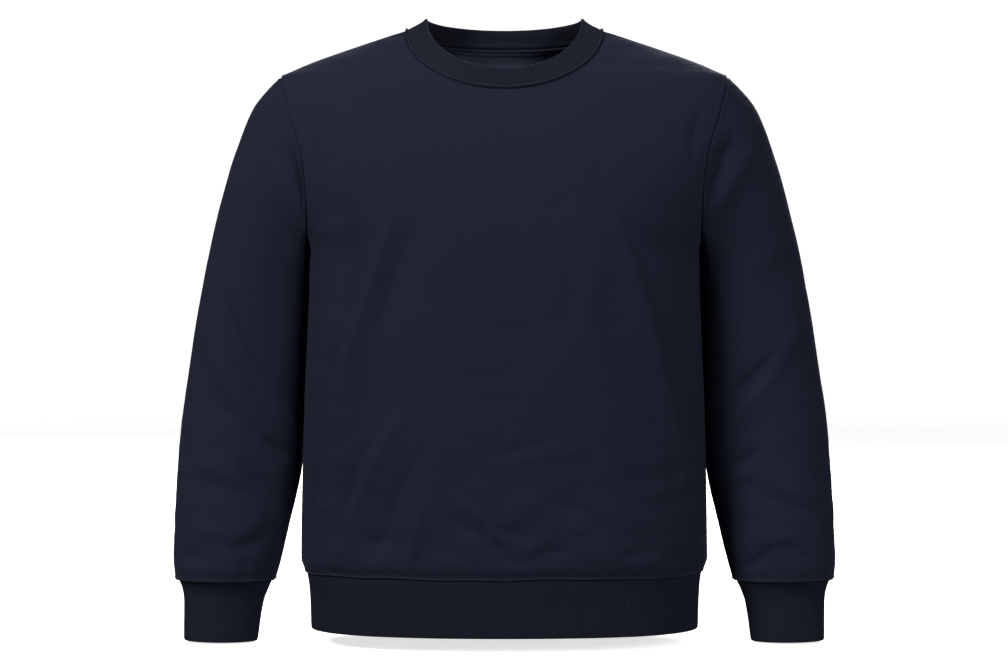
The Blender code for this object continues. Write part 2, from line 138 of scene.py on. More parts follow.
BodyRing = namedtuple("BodyRing", "z half_width front back middle")
BODY_RINGS = [BodyRing(*row) for row in (
    (-0.627, 0.2292, 0.121, 0.106, 0.000),
    (-0.611, 0.2348, 0.1265, 0.1105, 0.000),
    (-0.520, 0.2336, 0.130, 0.112, 0.000),
    (-0.430, 0.231, 0.1315, 0.112, 0.000),
    (-0.350, 0.2275, 0.1325, 0.115, 0.000),
    (-0.290, 0.226, 0.1325, 0.121, 0.000),
    (-0.262, 0.2262, 0.1315, 0.1235, 0.000),
    (-0.230, 0.240, 0.129, 0.126, 0.000),
    (-0.190, 0.256, 0.123, 0.1265, 0.000),
    (-0.147, 0.270, 0.1145, 0.124, 0.001),
    (-0.105, 0.2775, 0.099, 0.119, 0.002),
    (-0.0761, 0.2735, 0.083, 0.113, 0.003),
    (-0.0615, 0.265, 0.072, 0.109, 0.003),
    (-0.0545, 0.259, 0.065, 0.1065, 0.003),
    (-0.047, 0.2435, 0.0565, 0.1035, 0.004),
    (-0.035, 0.2145, 0.044, 0.0985, 0.004),
    (-0.0255, 0.188, 0.034, 0.093, 0.005),
    (-0.0131, 0.152, 0.021, 0.080, 0.005),
    (-0.0065, 0.133, 0.0125, 0.061, 0.006),
    (-0.002, 0.1205, 0.0065, 0.037, 0.006),
    (0.000, 0.115, 0.003, 0.012, 0.006),
)]
ArmholeRow = namedtuple("ArmholeRow", "z front_x back_x")
ARMHOLE = [ArmholeRow(*row) for row in (
    (UNDERARM_Z, 0.2262, 0.2262),
    (-0.230, 0.2245, 0.229),
    (-0.190, 0.2255, 0.236),
    (-0.147, 0.231, 0.242),
    (-0.105, 0.244, 0.2485),
    (-0.080, 0.252, 0.2535),
    (SHOULDER_TIP_Z, 0.259, 0.259),
)]

# Folds and creases by x and z, from a start to an end, bowed sideways: ridges (+), troughs (-).
# A lean above 0 makes the side that lies to the right of the way down the softer one.
Fold = namedtuple("Fold", "x z end_x end_z bow width height lean", defaults=[0.0])
FRONT_FOLDS = [Fold(*row) for row in (
    # the long fold that falls from the right breast to the hem, with its two troughs
    (-0.120, -0.205, -0.212, -0.570, -0.006, 0.0135, 0.017, 0.4),
    (-0.170, -0.205, -0.178, -0.340, 0.004, 0.015, -0.009),
    (-0.094, -0.215, -0.140, -0.370, -0.005, 0.018, -0.006),
    (-0.164, -0.365, -0.228, -0.600, -0.003, 0.012, -0.006),
    # a second one below it, and fainter ones beside it
    (-0.108, -0.430, -0.196, -0.622, -0.006, 0.0115, 0.010, 0.4),
    (-0.085, -0.470, -0.140, -0.600, -0.004, 0.010, -0.0039),
    (-0.150, -0.470, -0.194, -0.600, -0.003, 0.012, -0.0058),
    (-0.088, -0.520, -0.106, -0.622, 0.000, 0.007, 0.004),
    (-0.128, -0.565, -0.156, -0.612, 0.000, 0.009, -0.0033),
    # short creases at the right side seam
    (-0.214, -0.312, -0.166, -0.343, 0.004, 0.007, -0.0013, 0.3),
    (-0.212, -0.324, -0.170, -0.356, 0.004, 0.008, 0.0005),
    (-0.222, -0.372, -0.188, -0.398, 0.003, 0.007, -0.001),
    (-0.225, -0.450, -0.196, -0.470, 0.002, 0.007, -0.001),
    (-0.226, -0.520, -0.200, -0.548, 0.002, 0.006, -0.0023),
    # the long fold from the left breast to the hem
    (0.122, -0.215, 0.226, -0.622, 0.012, 0.014, 0.0062, -0.2),
    (0.146, -0.250, 0.233, -0.600, 0.010, 0.013, -0.005),
    (0.120, -0.215, 0.206, -0.290, 0.000, 0.014, -0.0036),
    (0.094, -0.250, 0.096, -0.360, 0.000, 0.012, 0.0021),
    (0.073, -0.250, 0.078, -0.350, 0.000, 0.010, -0.0016),
    (0.112, -0.330, 0.140, -0.440, 0.002, 0.014, -0.0019),
    (0.178, -0.470, 0.205, -0.560, 0.002, 0.009, -0.0024),
    # small creases over the waist, low on the middle and over the hem seam
    (-0.032, -0.492, 0.070, -0.462, -0.003, 0.008, -0.0016, 0.2),
    (-0.030, -0.503, 0.066, -0.476, -0.003, 0.009, 0.0008),
    (-0.072, -0.548, 0.012, -0.612, 0.003, 0.0078, -0.0026, 0.3),
    (-0.060, -0.536, 0.016, -0.592, 0.003, 0.0085, 0.0016),
    (-0.022, -0.563, 0.034, -0.586, 0.002, 0.005, -0.0021, 0.2),
    (-0.030, -0.570, 0.022, -0.619, 0.002, 0.005, -0.0023, 0.2),
    (0.040, -0.538, 0.096, -0.553, 0.002, 0.0055, -0.0019, 0.2),
    (0.030, -0.598, 0.082, -0.596, 0.003, 0.008, -0.0027),
    (0.128, -0.602, 0.176, -0.598, 0.003, 0.008, -0.0027),
    (0.070, -0.570, 0.120, -0.580, 0.002, 0.007, 0.0018),
    (-0.060, -0.410, 0.010, -0.398, 0.003, 0.008, -0.0012),
    (-0.020, -0.345, 0.050, -0.362, 0.002, 0.009, -0.001),
    # drag from the armholes and the shoulder points
    (0.226, -0.090, 0.213, -0.165, -0.003, 0.009, -0.003),
    (-0.232, -0.100, -0.212, -0.185, 0.004, 0.009, -0.0027),
    (-0.222, -0.235, -0.150, -0.205, 0.005, 0.012, -0.0024),
    (0.222, -0.240, 0.150, -0.200, -0.005, 0.012, -0.0024),
)]
# the sizes of the soft hills and hollows, and how far each size swings out
HILLS = [(0.090, 0.0011), (0.042, 0.0006), (0.020, 0.00034), (0.010, 0.00014)]


def smooth_curve(keys, values, at):
    """A cubic through rising keys that never overshoots the values beside it."""
    keys, values = np.asarray(keys), np.asarray(values)
    at = np.clip(at, keys[0], keys[-1])
    step = np.diff(keys)
    slope = np.diff(values) / step
    product, total = slope[:-1] * slope[1:], slope[:-1] + slope[1:]
    same_way = product > 0
    inner = np.where(same_way, 2 * product / np.where(same_way, total, 1), 0)
    tangent = np.concatenate([slope[:1], inner, slope[-1:]])
    k = np.clip(np.searchsorted(keys, at) - 1, 0, len(step) - 1)
    t = (at - keys[k]) / step[k]
    value = values[k] * (1 + 2 * t) * (1 - t) ** 2 + values[k + 1] * t**2 * (3 - 2 * t)
    return value + step[k] * t * (1 - t) * (tangent[k] * (1 - t) - tangent[k + 1] * t)


def column(table, name, at):
    """One named column of a table, read by the table's first column."""
    return smooth_curve([row[0] for row in table], [getattr(row, name) for row in table], at)


def ring_point(table, angle, z, half):
    """A point of a ring round the body. The angle runs from the centre line to the side at a
    quarter turn, and half is -1 on the front and +1 on the back."""
    fuller = 1 + FULLNESS * np.sin(2 * angle) ** 2
    x = column(table, "half_width", z) * np.sin(angle) * fuller
    depth = column(table, "front" if half < 0 else "back", z)
    y = column(table, "middle", z) + half * depth * np.cos(angle) * fuller
    return np.stack(np.broadcast_arrays(x, y, z), -1)


QUARTER = np.linspace(0, np.pi / 2, 2001)
SHARE_OF_WIDTH = np.sin(QUARTER) * (1 + FULLNESS * np.sin(2 * QUARTER) ** 2)
SHOULDER_Z = np.linspace(SHOULDER_TIP_Z, 0, 2001)
SHOULDER_X = column(BODY_RINGS, "half_width", SHOULDER_Z)


def angle_at(x, z):
    """The angle on the body's ring at this height that has this x."""
    share = np.abs(x) / column(BODY_RINGS, "half_width", z)
    return np.sign(x) * np.interp(share, SHARE_OF_WIDTH, QUARTER)


def unit(vectors):
    return vectors / np.maximum(np.linalg.norm(vectors, axis=-1, keepdims=True), 1e-12)


def eased(share):
    """A share from 0 to 1 that starts and ends softly."""
    share = np.clip(share, 0, 1)
    return share**2 * (3 - 2 * share)


def body_surface(x, z, half):
    """Points and outward normals of the smooth body at these places of its front or back."""
    angle = angle_at(x, z)
    turned, raised = 1e-4, 1e-5
    point = ring_point(BODY_RINGS, angle, z, half)
    around = ring_point(BODY_RINGS, angle + turned, z, half)
    around = around - ring_point(BODY_RINGS, angle - turned, z, half)
    above = ring_point(BODY_RINGS, angle, np.minimum(z + raised, 0), half)
    above = above - ring_point(BODY_RINGS, angle, z - raised, half)
    return point, unit(np.cross(around, above)) * -half


def neck_seam(turn, half):
    """x and z of the neck seam: a turn of 0 is the centre line, a quarter the shoulder."""
    return NECK_SEAM_WIDTH * np.sin(turn), -NECK_SEAM_DROP[half] * np.cos(turn)


# The neck band's free edge: half width, half depths about a middle, the height of its sides and
# how far it drops from there to the centre line.
NeckLoop = namedtuple("NeckLoop", "half_width front back middle side_z front_drop back_drop")
NECK_EDGE = NeckLoop(0.0890, 0.0775, 0.0730, 0.006, 0.0135, 0.0653, 0.0035)


def neck_edge(turn, half):
    """Points of the neck band's free edge, by the same turn as the neck seam's."""
    depth = NECK_EDGE.front if half < 0 else NECK_EDGE.back
    drop = NECK_EDGE.front_drop if half < 0 else NECK_EDGE.back_drop
    x = NECK_EDGE.half_width * np.sin(turn)
    y = NECK_EDGE.middle + half * depth * np.cos(turn)
    return np.stack([x, y, NECK_EDGE.side_z - drop * np.cos(turn)], -1)


def neck_meeting(turn, half):
    """The direction that the rims of the panel and of the neck band share at their seam."""
    seam, panel_way = body_surface(*neck_seam(turn, half), half)
    around = body_surface(*neck_seam(turn + 0.001, half), half)[0]
    around = around - body_surface(*neck_seam(turn - 0.001, half), half)[0]
    band_way = unit(np.cross(around, neck_edge(turn, half) - seam)) * -half
    return unit(panel_way + band_way)


def fold_height(folds, a, b):
    """How far the cloth stands out at the places (a, b) where these folds cross them."""
    height = np.zeros(np.shape(a))
    for fold in folds:
        way = np.array([fold.end_x - fold.x, fold.end_z - fold.z])
        length = np.hypot(*way)
        way = way / length
        from_a, from_b = a - fold.x, b - fold.z
        t = (from_a * way[0] + from_b * way[1]) / length
        fade = np.sin(np.pi * np.clip(t, 0, 1))
        width = fold.width * (0.45 + 0.55 * fade**0.7)
        aside = (from_b * way[0] - from_a * way[1] - 4 * fold.bow * t * (1 - t)) / width
        aside = aside / (1 + fold.lean * np.tanh(aside))
        across = np.exp(0.05 - (aside**2 + 0.02) ** 0.75)
        height += fold.height * fade * across
    return height


def lattice(a, b, size, draw):
    """Smooth hills and hollows of about this size, between -1 and 1."""
    heights = draw.uniform(-1, 1, (64, 64))
    col, row = np.asarray(a) / size, np.asarray(b) / size
    left, low = np.floor(col).astype(int), np.floor(row).astype(int)
    u, v = eased(col - left), eased(row - low)

    def corner(right, up):
        return heights[(left + right) % 64, (low + up) % 64]

    near = corner(0, 0) * (1 - u) + corner(1, 0) * u
    return near * (1 - v) + (corner(0, 1) * (1 - u) + corner(1, 1) * u) * v


def unevenness(x, z, seed):
    """The soft unevenness of hanging cloth: hills and hollows of a few sizes, each laid
    three times at different slants so that no grid shows."""
    draw = np.random.default_rng(seed)
    height = np.zeros(np.shape(x))
    for size, swing in HILLS:
        for slant in draw.uniform(0, np.pi, 3):
            across, along = np.cos(slant), np.sin(slant)
            turned_x, turned_z = x * across + z * along, z * across - x * along
            height += swing / 2 * lattice(turned_x, turned_z, size, draw)
    return height


def rumples(x, z, seed):
    """Low slanting wrinkles of cloth that settles on a rib band, fading upwards."""
    draw = np.random.default_rng(seed)
    height = lattice(0.42 * x + 0.25 * z, z - 0.20 * x, 0.017, draw)
    height += 0.7 * lattice(0.50 * x - 0.30 * z, z + 0.28 * x, 0.013, draw)
    return 0.0010 * height * eased((-0.36 - z) / 0.22)


# A seam sinks between two soft lips of cloth, and where a rib band is sewn on the cloth makes a
# firm roll that catches the light.
SEAM_SINK, SEAM_SINK_WIDTH = 0.0011, 0.0012
Ridge = namedtuple("Ridge", "height place width")
SEAM_LIP = Ridge(0.0005, 0.0030, 0.0018)
ROLLED_EDGE = Ridge(0.0010, 0.0020, 0.0014)
PUCKER_REACH, PUCKER_SWING = 0.016, 0.0007
# Near its seams cloth lies calm, and folds end before they reach them.
CALM_HEM, CALM_SIDE, CALM_TOP = 0.030, 0.040, 0.030
FOLDLESS_HEM, FOLDLESS_SIDE, FOLDLESS_CUFF, FOLDLESS_HEAD = 0.022, 0.028, 0.020, 0.010
LOW_SIDE_SINK, LOW_SIDE_BULGE = 0.0003, 0.0006
MEETING_REACH = 0.004  # how far below a seam the wall starts to turn
WANDER_REACH = 0.02


def ridge_height(ridge, distance):
    """The height of a ridge along a seam or an edge, at this distance from it."""
    return ridge.height * np.exp(-(((distance - ridge.place) / ridge.width) ** 2))


def seam_shape(distance, sink=SEAM_SINK):
    """How far cloth stands out at this distance from a seam."""
    return ridge_height(SEAM_LIP, distance) - sink * np.exp(-((distance / SEAM_SINK_WIDTH) ** 2))


def puckers(around, distance, seed):
    """Small ripples across a seam that eases cloth in."""
    draw = np.random.default_rng(seed)
    height = np.zeros(np.shape(around))
    for ripple, shift in draw.uniform((0.011, 0), (0.034, 2 * np.pi), (9, 2)):
        height += np.sin(2 * np.pi * around / ripple + shift) / 3
    fade = np.exp(-distance / PUCKER_REACH) * eased(distance / 0.004)
    return PUCKER_SWING * height * fade


def hem_wander(point):
    """How far the hem seam strays up and down as it goes round."""
    x, y = point[..., 0], point[..., 1]
    return 0.0007 * (np.sin(31 * x + 12 * y + 1) + 0.7 * np.sin(74 * x - 21 * y + 2))


def run(grid, axis):
    """Distances along a grid's rows (axis 1) or columns (axis 0), from its first points."""
    steps = np.linalg.norm(np.diff(grid, axis=axis), axis=-1)
    start = np.zeros_like(np.take(steps, [0], axis=axis))
    return np.concatenate([start, np.cumsum(steps, axis=axis)], axis=axis)


# The grid of a half panel: cells get smaller towards the armhole, the top seams and the hem.
NECK_CELLS, SHOULDER_CELLS, LOWER_CELLS, UPPER_CELLS = 44, 52, 112, 80
NECK_SHARES = np.linspace(0, 0.5, NECK_CELLS + 1)
SHOULDER_SHARES = 1 - 0.5 * np.linspace(1, 0, SHOULDER_CELLS + 1)[1:] ** 1.35
SHARES = np.concatenate([NECK_SHARES, SHOULDER_SHARES])
NECK_COLUMNS = slice(SHOULDER_CELLS, SHOULDER_CELLS + 2 * NECK_CELLS + 1)  # of a whole panel


def half_outline(half):
    """x and z of the grid of a half panel, from the centre line out and from the hem up."""
    up = (np.linspace(0, 1, LOWER_CELLS + 1) ** 1.25)[:, None]
    side_z = HEM_SEAM_Z + (UNDERARM_Z - HEM_SEAM_Z) * up
    lower_z = side_z - CENTRE_DIP * up * (1 - SHARES**2)
    lower_x = ring_point(BODY_RINGS, SHARES * np.pi / 2, lower_z, half)[..., 0]

    neck_x, neck_z = neck_seam(NECK_SHARES * np.pi, half)
    seam_x = NECK_SEAM_WIDTH + (SHOULDER_X[0] - NECK_SEAM_WIDTH) * (2 * SHOULDER_SHARES - 1)
    top_x = np.concatenate([neck_x, seam_x])
    top_z = np.concatenate([neck_z, np.interp(seam_x, SHOULDER_X[::-1], SHOULDER_Z[::-1])])
    rise = 1 - np.linspace(1, 0, UPPER_CELLS + 1) ** 1.7
    arm_z = UNDERARM_Z + (SHOULDER_TIP_Z - UNDERARM_Z) * rise
    arm_x = column(ARMHOLE, "front_x" if half < 0 else "back_x", arm_z)
    centre_z = lower_z[-1, 0] + (top_z[0] - lower_z[-1, 0]) * rise
    up = rise[:, None]

    def span(bottom, top, centre, side):
        edges = (1 - up) * bottom + up * top
        edges = edges + (1 - SHARES) * centre[:, None] + SHARES * side[:, None]
        low = (1 - SHARES) * bottom[0] + SHARES * bottom[-1]
        high = (1 - SHARES) * top[0] + SHARES * top[-1]
        return edges - (1 - up) * low - up * high

    upper_x = span(lower_x[-1], top_x, np.zeros_like(arm_x), arm_x)
    upper_z = span(lower_z[-1], top_z, centre_z, arm_z)
    return np.vstack([lower_x[:-1], upper_x]), np.vstack([lower_z[:-1], upper_z])


def cloth_places(x, z, half):
    """How far round from the centre line and up from the hem each place of a panel lies."""
    angle, steps = angle_at(x, z)[..., None], np.linspace(0, 1, 25)
    round_it = ring_point(BODY_RINGS, angle * steps, z[..., None], half)
    up_it = ring_point(BODY_RINGS, angle, HEM_SEAM_Z + (z[..., None] - HEM_SEAM_Z) * steps, half)
    across = np.sign(x) * run(round_it, 2)[..., -1]
    return np.stack([across, run(up_it, 2)[..., -1]], -1)


def by_the_arm(z):
    """1 where the side of the body and the underside of the sleeve lie close, and 0 beyond."""
    return eased((UNDERARM_Z + 0.006 - z) / 0.014) * eased((z + 0.47) / 0.06)


def panel(half, folds, seed):
    """The outer and inner face of the front or the back, and its normals."""
    x, z = half_outline(half)
    x, z = np.hstack([-x[:, :0:-1], x]), np.hstack([z[:, :0:-1], z])
    point, normal = body_surface(x, z, half)
    from_hem = run(point, 0)
    from_top = from_hem[-1] - from_hem
    from_left = run(point, 1)
    from_side = np.minimum(from_left, from_left[:, -1:] - from_left)

    seams_near = np.minimum(np.minimum(from_hem, from_top), from_side)
    calm = eased(from_hem / CALM_HEM) * eased(from_side / CALM_SIDE) * eased(from_top / CALM_TOP)
    loose = fold_height(folds, x, z)
    loose = loose * eased(from_hem / FOLDLESS_HEM) * eased(from_side / FOLDLESS_SIDE)
    loose += unevenness(x, z, seed) * np.maximum(calm, 0.35 * eased(seams_near / 0.006))
    loose += rumples(x, z, seed + 2) * calm
    loose += puckers(from_left, from_hem, seed + 1)
    side_sink = LOW_SIDE_SINK + (SEAM_SINK - LOW_SIDE_SINK) * eased((z - UNDERARM_Z) / 0.03)
    height = loose + ridge_height(ROLLED_EDGE, from_hem)
    height = height + seam_shape(from_side, side_sink) + seam_shape(from_top)
    height += LOW_SIDE_BULGE * eased(1 - from_side / 0.02) * by_the_arm(z)
    outer = point + normal * height[..., None]
    outer[..., 2] += hem_wander(point) * np.exp(-from_hem / WANDER_REACH)

    # At the top the wall turns to the direction that it shares with the neck band or with the
    # other panel, so that the rims lie face to face.
    meeting = unit(normal[-1] + body_surface(x[-1], z[-1], -half)[1])
    turn = np.concatenate([-NECK_SHARES[:0:-1], NECK_SHARES]) * np.pi
    meeting[NECK_COLUMNS] = neck_meeting(turn, half)
    nearness = np.exp(-((from_top / MEETING_REACH) ** 2))[..., None]
    inwards = unit(normal * (1 - nearness) + meeting * nearness)
    facing = np.sum(inwards * normal, axis=-1, keepdims=True)
    inner = outer - inwards * FLEECE / np.clip(facing, 0.6, 1)
    return outer, inner, normal, cloth_places(x, z, half)


def laid_out(name, mesh, finishes):
    """A mesh as a piece of the garment."""
    for material in finishes:
        mesh.materials.append(material)
    mesh.shade_smooth()
    piece = bpy.data.objects.new(name, mesh)
    bpy.context.scene.collection.objects.link(piece)
    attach(piece, "root")
    return piece


def sew(name, outer, inner, closed, finishes, uv=None):
    """One wall of cloth between an outer and an inner grid, with its UV map in metres. A closed
    grid runs right round, and its last column repeats the first."""
    rows, columns = outer.shape[:2]
    kept = columns - closed
    index = np.arange(rows * kept).reshape(rows, kept)
    if closed:
        index = np.hstack([index, index[:, :1]])
    count = rows * kept
    if uv is None:
        across = np.broadcast_to(run(outer, 1)[rows // 2], (rows, columns))
        along = np.broadcast_to(run(outer, 0)[:, [columns // 2]], (rows, columns))
        uv = np.stack([across, along], -1)

    def quads(first, second):
        """Four corners of each cell between two lines of places."""
        return np.stack([first[..., :-1], first[..., 1:], second[..., 1:], second[..., :-1]], -1)

    place = np.arange(rows * columns).reshape(rows, columns)
    skin = quads(place[:-1], place[1:]).reshape(-1, 4)
    number = index.reshape(-1)
    outside = number[skin]
    inside = number[skin[:, ::-1]] + count
    borders = [(place[0], 1), (place[-1], -1)]
    if not closed:
        borders += [(place[:, 0], -1), (place[:, -1], 1)]
    rim_faces, rim_uv = [], []
    for border, turn in borders:
        ends = np.stack([border[1:], border[:-1]], -1)[:, ::turn]
        rim_faces.append(np.hstack([number[ends], number[ends[:, ::-1]] + count]))
        rim_uv.append(np.hstack([ends, ends[:, ::-1]]))
    faces = np.vstack([outside, inside, *rim_faces])
    face_uv = uv.reshape(-1, 2)[np.vstack([skin, skin[:, ::-1], *rim_uv])]

    # The outer faces have to point away from the inner wall.
    corners = skin[len(skin) // 2, :3]
    a, b, c = outer.reshape(-1, 3)[corners]
    if np.dot(np.cross(b - a, c - a), a - inner.reshape(-1, 3)[corners[0]]) < 0:
        faces, face_uv = faces[:, ::-1], face_uv[:, ::-1]

    mesh = bpy.data.meshes.new(name)
    points = np.concatenate([outer[:, :kept].reshape(-1, 3), inner[:, :kept].reshape(-1, 3)])
    mesh.from_pydata(points.tolist(), [], faces.tolist())
    mesh.uv_layers.new(name="cloth").data.foreach_set("uv", face_uv.reshape(-1))
    piece = laid_out(name, mesh, finishes)
    brushed = np.zeros(len(faces), dtype=np.int32)
    brushed[len(outside) : 2 * len(outside)] = len(finishes) - 1
    mesh.polygons.foreach_set("material_index", brushed)
    mesh.set_sharp_from_angle(angle=np.radians(60))
    return piece


class Reading:
    """A number read in a material, so that its shader maths is written as plain maths."""

    def __init__(self, finish, socket):
        self.finish, self.socket = finish, socket

    def maths(self, operation, *numbers):
        sockets = dict(enumerate(numbers))
        node = self.finish.node("ShaderNodeMath", {"operation": operation}, sockets)
        return Reading(self.finish, node.outputs[0])

    def __add__(self, other):
        return self.maths("ADD", self, other)

    def __sub__(self, other):
        return self.maths("SUBTRACT", self, other)

    def __rsub__(self, other):
        return self.maths("SUBTRACT", other, self)

    def __mul__(self, other):
        return self.maths("MULTIPLY", self, other)

    def __truediv__(self, other):
        return self.maths("DIVIDE", self, other)

    __radd__, __rmul__ = __add__, __mul__

    def wave(self):
        """A sine that turns once as the number grows by 1."""
        return self.maths("SINE", self * (2 * np.pi))

    def off_middle(self):
        """0 at the middle of each whole step of the number, and 1 at its ends."""
        return self.maths("ABSOLUTE", self.maths("FRACT", self) - 0.5) * 2


class Finish:
    """A cloth's material: a Principled shader, whose sockets are set or fed by name."""

    def __init__(self, name, **fixed):
        self.material = bpy.data.materials.new(name)
        self.material.use_nodes = True
        self.tree = self.material.node_tree
        self.shader = self.tree.nodes["Principled BSDF"]
        for socket, number in fixed.items():
            self.shader.inputs[socket.replace("_", " ")].default_value = number

    def node(self, kind, settings, sockets):
        """A node with these settings, and with these values or links on its sockets."""
        node = self.tree.nodes.new(kind)
        for setting, value in settings.items():
            setattr(node, setting, value)
        for name, value in sockets.items():
            self.feed(node.inputs[name], value)
        return node

    def feed(self, socket, value):
        if isinstance(value, Reading):
            self.tree.links.new(value.socket, socket)
        elif isinstance(value, bpy.types.NodeSocket):
            self.tree.links.new(value, socket)
        else:
            socket.default_value = value

    def noise(self, places, scale, detail, distortion=0.0):
        settings = {"Vector": places, "Scale": scale, "Detail": detail, "Distortion": distortion}
        node = self.node("ShaderNodeTexNoise", {}, settings)
        return Reading(self, node.outputs["Fac"])

    def colour(self, factor, first, second):
        """A base colour between two, by a factor."""
        sockets = {"Factor": factor, 6: (*first, 1), 7: (*second, 1)}
        mix = self.node("ShaderNodeMix", {"data_type": "RGBA"}, sockets)
        self.feed(self.shader.inputs["Base Color"], mix.outputs[2])

    def relief(self, heights):
        """Bumps laid over each other, each a height and how many metres it stands for."""
        below = None
        for height, metres in heights:
            sockets = {"Height": height, "Distance": metres, "Strength": 1.0}
            if below:
                sockets["Normal"] = below
            below = self.node("ShaderNodeBump", {}, sockets).outputs["Normal"]
        self.feed(self.shader.inputs["Normal"], below)


SHEEN_TINT = (0.50, 0.62, 0.90, 1)
FLEECE_NAVY, FLEECE_PALER = (0.0067, 0.0085, 0.0164), (0.0087, 0.0108, 0.0205)
# The brushed back's colours are paler than the face's. Part of this is the nap's own lighter tone,
# and part is painted light that lifts the shaded inside of the garment where it shows through the
# neck.
NAP_NAVY_PARTLY_PAINTED_LIGHT, NAP_PALER_PARTLY_PAINTED_LIGHT = (0.0240, 0.0265, 0.0470), (0.0310, 0.0345, 0.0590)
WALE, COURSE = 0.00115, 0.00095


def knit_face(name, navy, paler, wale, course, sheen):
    """The smooth face of a fine plain knit: columns of small V shapes, a little hairy."""
    finish = Finish(
        name, Sheen_Weight=sheen, Sheen_Roughness=0.35, Sheen_Tint=SHEEN_TINT,
        Specular_IOR_Level=0.06,
    )
    places = finish.node("ShaderNodeTexCoord", {}, {})
    cloth = finish.node("ShaderNodeSeparateXYZ", {}, {0: places.outputs["UV"]})
    across, along = (Reading(finish, cloth.outputs[k]) for k in (0, 1))
    where = places.outputs["Object"]

    beside = (across / wale).off_middle()
    loops = (along / course + beside * 0.5).wave() * 0.5 + 0.5
    stitch = loops * (1 - beside * 0.55)
    cloudy = finish.noise(where, 34, 3, 0.4)
    speckled = finish.noise(where, 520, 2)
    hairy = finish.noise(where, 1500, 3)
    # Painted shade: the stitch term makes the colour darker in the hollows between the loops and at
    # the edges of each column of stitches. The cloudy and speckled terms are random tone.
    shade = cloudy * 0.45 + speckled * 0.9 + stitch * 0.18 - 0.35
    finish.colour(shade, navy, paler)
    finish.feed(finish.shader.inputs["Roughness"], speckled * 0.15 + 0.84)
    finish.relief([(speckled, 0.00035), (stitch, 0.00016), (hairy, 0.00012)])
    return finish.material


def brushed_back(name, navy, paler):
    """The brushed back of fleece: a short nap with no columns, lying in soft patches."""
    finish = Finish(
        name, Sheen_Weight=0.06, Sheen_Roughness=0.55, Sheen_Tint=SHEEN_TINT,
        Specular_IOR_Level=0.05,
    )
    where = finish.node("ShaderNodeTexCoord", {}, {}).outputs["Object"]
    patchy = finish.noise(where, 90, 3, 0.8)
    nap = finish.noise(where, 650, 4, 0.6)
    shade = patchy * 0.6 + nap * 0.4
    finish.colour(shade, navy, paler)
    finish.feed(finish.shader.inputs["Roughness"], nap * 0.1 + 0.88)
    finish.relief([(patchy, 0.0012), (nap, 0.0008)])
    return finish.material


fleece_face = knit_face("navy_fleece", FLEECE_NAVY, FLEECE_PALER, WALE, COURSE, 0.03)
# The brushed back's paler colour is partly painted light on the shaded inside.
fleece_back = brushed_back("navy_brushed_back_partly_painted_light", NAP_NAVY_PARTLY_PAINTED_LIGHT, NAP_PALER_PARTLY_PAINTED_LIGHT)
fleece = [fleece_face, fleece_back]

front_outer, front_inner, front_normal, front_map = panel(-1, FRONT_FOLDS, seed=11)
front = sew("front_panel", front_outer, front_inner, False, fleece, front_map)
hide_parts("front")

# ---- The back ----
# The second panel of the same fleece, a little higher at the neck. It lies smooth over the
# shoulder blades, and falls below them in a few long folds like the front's.

BACK_FOLDS = [Fold(*row) for row in (
    (0.108, -0.180, 0.192, -0.580, 0.016, 0.016, 0.008, 0.3),
    (0.150, -0.230, 0.214, -0.550, 0.012, 0.015, -0.0048, 0.2),
    (0.075, -0.230, 0.130, -0.420, 0.004, 0.016, -0.0034),
    (0.060, -0.420, 0.128, -0.622, 0.005, 0.012, 0.0042),
    (-0.088, -0.220, -0.186, -0.600, -0.018, 0.017, 0.0078, 0.3),
    (-0.124, -0.250, -0.206, -0.540, -0.014, 0.015, -0.005, 0.2),
    (-0.060, -0.260, -0.118, -0.440, -0.003, 0.015, -0.0031),
    (-0.040, -0.430, -0.090, -0.622, -0.006, 0.012, 0.0036),
    (-0.010, -0.300, 0.012, -0.520, 0.006, 0.020, 0.0023),
    (-0.060, -0.500, 0.030, -0.480, 0.006, 0.007, -0.0021, 0.2),
    (-0.050, -0.556, 0.044, -0.592, 0.004, 0.006, -0.0022, 0.2),
    (0.010, -0.540, 0.096, -0.560, 0.003, 0.006, -0.0018, 0.2),
    (-0.130, -0.560, -0.070, -0.596, 0.002, 0.006, -0.002),
    (0.130, -0.590, 0.180, -0.600, 0.003, 0.008, -0.0023),
    (0.222, -0.330, 0.176, -0.352, 0.004, 0.006, -0.0022),
    (-0.224, -0.400, -0.182, -0.420, 0.004, 0.006, -0.0021),
    (0.225, -0.470, 0.190, -0.500, 0.003, 0.006, -0.002),
    (-0.060, -0.060, 0.060, -0.062, -0.006, 0.012, 0.0013),
    (0.236, -0.200, 0.150, -0.150, 0.006, 0.014, -0.0026),
    (-0.236, -0.205, -0.155, -0.160, -0.006, 0.014, -0.0026),
)]

back_outer, back_inner, back_normal, back_map = panel(1, BACK_FOLDS, seed=23)
back = sew("back_panel", back_outer, back_inner, False, fleece, back_map)
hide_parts("back")

# ---- The sleeves ----
# Each sleeve is one piece of fleece, closed by a seam along its underside, set into the armhole
# and eased into its cuff. It hangs almost straight, with soft drag lines below the armhole,
# creases inside the elbow and wrinkles that pile up over the cuff.

